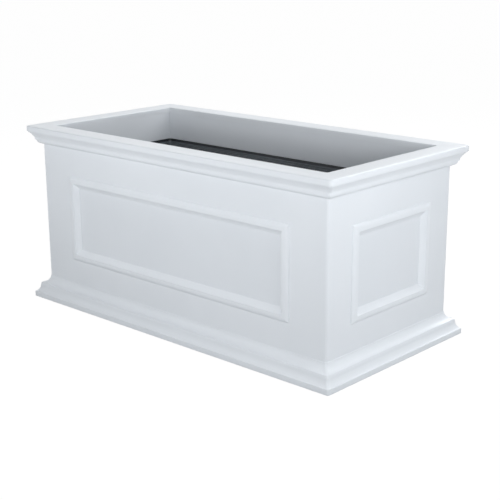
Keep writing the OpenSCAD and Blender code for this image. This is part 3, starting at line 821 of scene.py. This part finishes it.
def one_screw(name, length, head):
    """A flat-headed screw that points down, its head's face at the origin, with a square drive."""
    work = bmesh.new()
    drive = head * DRIVE_SHARE
    loops = [
        ring(work, drive * 0.8, -DRIVE_DEPTH, True),
        ring(work, drive, -DRIVE_EASING, True),
        ring(work, drive * 1.08, 0.0, True),
        ring(work, head - HEAD_EASING, 0.0),
        ring(work, head, -HEAD_EASING),
        ring(work, SHANK, -CONE),
        ring(work, SHANK, -(length - SHANK)),
        ring(work, SHANK / 4, -length),
    ]
    work.faces.new(loops[0])
    for a, b in zip(loops, loops[1:]):
        for k in range(RING_SIDES):
            after = (k + 1) % RING_SIDES
            work.faces.new((a[k], a[after], b[after], b[k]))
    work.faces.new(loops[-1])
    bmesh.ops.recalc_face_normals(work, faces=work.faces)
    mesh = bpy.data.meshes.new(name)
    work.to_mesh(mesh)
    work.free()
    piece = bpy.data.objects.new(name, mesh)
    bpy.context.scene.collection.objects.link(piece)
    return piece


print("screw model ready")

# %% [markdown]
# Nobody drives every screw to the same angle, so the tree turns each copy about its own length by a
# random amount from a fixed seed. The way that a screw faces is stored on its point beforehand.

# %% Build the tree that places the screws
def place_tree():
    """Puts a copy of an object on each point, along the point's facing, with a random twist."""
    tree, given = new_tree("place_on_points", (
        ("Screw", "Object", None), ("Twist", "Float", None),
        ("Seed", "Int", None), ("Material", "Material", None),
    ))
    screw = add(tree, "GeometryNodeObjectInfo", {"Object": given["Screw"]}, "Geometry")
    facing = add(
        tree, "GeometryNodeInputNamedAttribute", {"Name": "facing"}, "Attribute",
        data_type="FLOAT_VECTOR",
    )
    aligned = add(
        tree, "FunctionNodeAlignRotationToVector", {"Vector": facing}, "Rotation", axis="Z"
    )
    chance = add(
        tree, "FunctionNodeRandomValue", {"Max": given["Twist"], "Seed": given["Seed"]}, "Value",
        data_type="FLOAT",
    )
    twist = add(tree, "ShaderNodeCombineXYZ", {"Z": chance})
    turned = add(
        tree, "FunctionNodeRotateRotation", {"Rotation": aligned, "Rotate By": twist}, "Rotation",
        rotation_space="LOCAL",
    )
    copies = add(tree, "GeometryNodeInstanceOnPoints", {
        "Points": given["Geometry"], "Instance": screw, "Rotation": turned,
    }, "Instances")
    end_tree(tree, copies, given["Material"])
    return tree


place_on_points = place_tree()
print("placing tree has", len(place_on_points.nodes), "nodes")

# %% Place every screw
QUARTER_TURN = math.radians(90)
SCREW_SHARP = 30

screws = []
for seed, (name, places) in enumerate(screw_groups.items()):
    _, _, length, head = places[0]
    model = one_screw("screw_model", length, head)
    points = bpy.data.meshes.new("places")
    points.from_pydata([middle for middle, _, _, _ in places], [], [])
    facing = points.attributes.new("facing", "FLOAT_VECTOR", "POINT")
    for item, (_, out, _, _) in zip(facing.data, places):
        item.vector = out
    source = bpy.data.objects.new("places", points)
    bpy.context.scene.collection.objects.link(source)
    mesh = run_tree(source, place_on_points, {
        "Screw": model, "Twist": QUARTER_TURN, "Seed": seed, "Material": steel_finish,
    })
    if "facing" in mesh.attributes:
        mesh.attributes.remove(mesh.attributes["facing"])
    screws.append(finish_piece(
        f"steel_{name}", mesh, steel_finish, "planter", [name], SCREW_SHARP,
    ))
    bpy.data.objects.remove(source)
    bpy.data.objects.remove(model)
placed = sum(len(places) for places in screw_groups.values())
print(placed, "screws placed, open edges", sum(n for _, n in screws))

# %% [markdown]
# The flat walls and panels already have the right shape, with real rounded corners, so they stay as
# the CAD model gives them and only take a finish in place of the plain one.

# %% Finish the walls and the panels
for side in SIDES:
    for kind, finish in (("wall", wall_finish), ("panel", painted_shade_panel_finish)):
        node = nodes[f"{kind}_{side}"]
        node.data.materials.clear()
        node.data.materials.append(finish)
print("eight flat pieces finished")

# %% [markdown]
# ## Floor and light
# A catalogue picture has a white ground with hardly any shadow. Turning the lamps up would burn out
# the white planter, so the floor only looks white to the camera. For the light that falls on the
# object it is an ordinary pale floor. A little of its real shading is kept, so a soft contact shadow
# stays.

# %% A pale floor that keeps a faint shadow
FLOOR_GREY, FLOOR_GLOW, FLOOR_SHARE = (0.50, 0.505, 0.51, 1), 1.06, 0.93
FLOOR_HALF, FLOOR_DROP = 12.0, 0.3 * MM


def seen_white(tree, plain, white, share, output):
    """Mixes in this share of white for the camera and for shiny and clear surfaces alone."""
    rays = tree.nodes.new("ShaderNodeLightPath").outputs
    seen = number(tree, "MAXIMUM", rays["Is Camera Ray"], rays["Is Glossy Ray"])
    seen = number(tree, "MAXIMUM", seen, rays["Is Transmission Ray"])
    share = number(tree, "MULTIPLY", seen, share)
    mixed = add(tree, "ShaderNodeMixShader", {"Fac": share, 1: plain, 2: white})
    tree.links.new(mixed, tree.nodes.new(output).inputs["Surface"])


floor_material = bpy.data.materials.new("pale_floor")
floor_material.use_nodes = True
tree = floor_material.node_tree
tree.nodes.clear()
matte = add(tree, "ShaderNodeBsdfDiffuse", {"Color": FLOOR_GREY})
glow = add(tree, "ShaderNodeEmission", {"Strength": FLOOR_GLOW})
seen_white(tree, matte, glow, FLOOR_SHARE, "ShaderNodeOutputMaterial")

floor_mesh = bpy.data.meshes.new("studio_floor")
corners = [(x * FLOOR_HALF, y * FLOOR_HALF, 0) for x, y in ((-1, -1), (1, -1), (1, 1), (-1, 1))]
floor_mesh.from_pydata(corners, [], [(0, 1, 2, 3)])
floor_mesh.transform(Matrix.Translation((0, 0, -FLOOR_DROP)))
floor_mesh.materials.append(floor_material)
floor = bpy.data.objects.new("studio_floor", floor_mesh)
bpy.context.scene.collection.objects.link(floor)
print("floor laid")

# %% [markdown]
# The air is the same trick again: white to the camera, and a faint cool light to the object.

# %% Faint light all round
AIR_COLOUR, AIR_STRENGTH, WHITE = (0.93, 0.965, 1.0, 1), 0.1, (1, 1, 1, 1)

world = bpy.data.worlds.new("studio_air")
world.use_nodes = True
bpy.context.scene.world = world
tree = world.node_tree
tree.nodes.clear()
air = add(tree, "ShaderNodeBackground", {"Color": AIR_COLOUR, "Strength": AIR_STRENGTH})
white = add(tree, "ShaderNodeBackground", {"Color": WHITE})
seen_white(tree, air, white, 1.0, "ShaderNodeOutputWorld")
print("air lit at", AIR_STRENGTH)

# %% [markdown]
# Broad lamps give a white box its soft shading: a large one behind for the rim, a smaller one behind
# on the left, two on the right for the end wall, and long low strips in front of both walls, which
# brighten them towards the rim. Shiny surfaces mirror only the two behind. The others, mirrored in
# the rim's rounded edge, would draw a hard bright line along it.

# %% Soft lamps
LAMP_COLOUR = (0.955, 0.977, 1.0)
LAMPS = (
    # name, place, what it points at, width, height, watts, whether shiny surfaces mirror it
    ("lamp_behind", (0.1, 1.8, 2.0), (0, 0, 0.3), 1.6, 1.6, 40, True),
    ("lamp_behind_left", (-1.7, 1.2, 1.9), (0, 0, 0.3), 1.4, 1.4, 10, True),
    ("lamp_right_high", (2.0, 0.4, 1.6), (0, 0, 0.35), 1.0, 1.0, 9.6, False),
    ("lamp_right_low", (2.4, -1.0, 0.6), (0.2, 0, 0.25), 1.2, 0.8, 7.9, False),
    ("strip_front_high", (-0.1, -1.0, 0.62), (-0.1, -0.2, 0.33), 1.9, 0.3, 5.1, False),
    ("strip_front_low", (0.15, -0.85, 0.45), (0.15, -0.2, 0.33), 1.5, 0.15, 1.8, False),
    ("strip_end", (0.98, -0.1, 0.5), (0.43, 0, 0.33), 0.8, 0.15, 1.9, False),
)


def soft_lamp(name, place, aim, width, height, power, mirrored):
    """A rectangle of light that the camera doesn't see."""
    lamp = bpy.data.lights.new(name, "AREA")
    lamp.shape = "RECTANGLE"
    lamp.size, lamp.size_y = width, height
    lamp.energy, lamp.color = power, LAMP_COLOUR
    holder = bpy.data.objects.new(name, lamp)
    bpy.context.scene.collection.objects.link(holder)
    holder.location = place
    holder.rotation_mode = "QUATERNION"
    holder.rotation_quaternion = (Vector(aim) - Vector(place)).to_track_quat("-Z", "Y")
    holder.visible_camera = False
    holder.visible_glossy = mirrored


for lamp in LAMPS:
    soft_lamp(*lamp)
bpy.context.scene.view_settings.view_transform = "Standard"
print("lit with", len(LAMPS), "lamps")
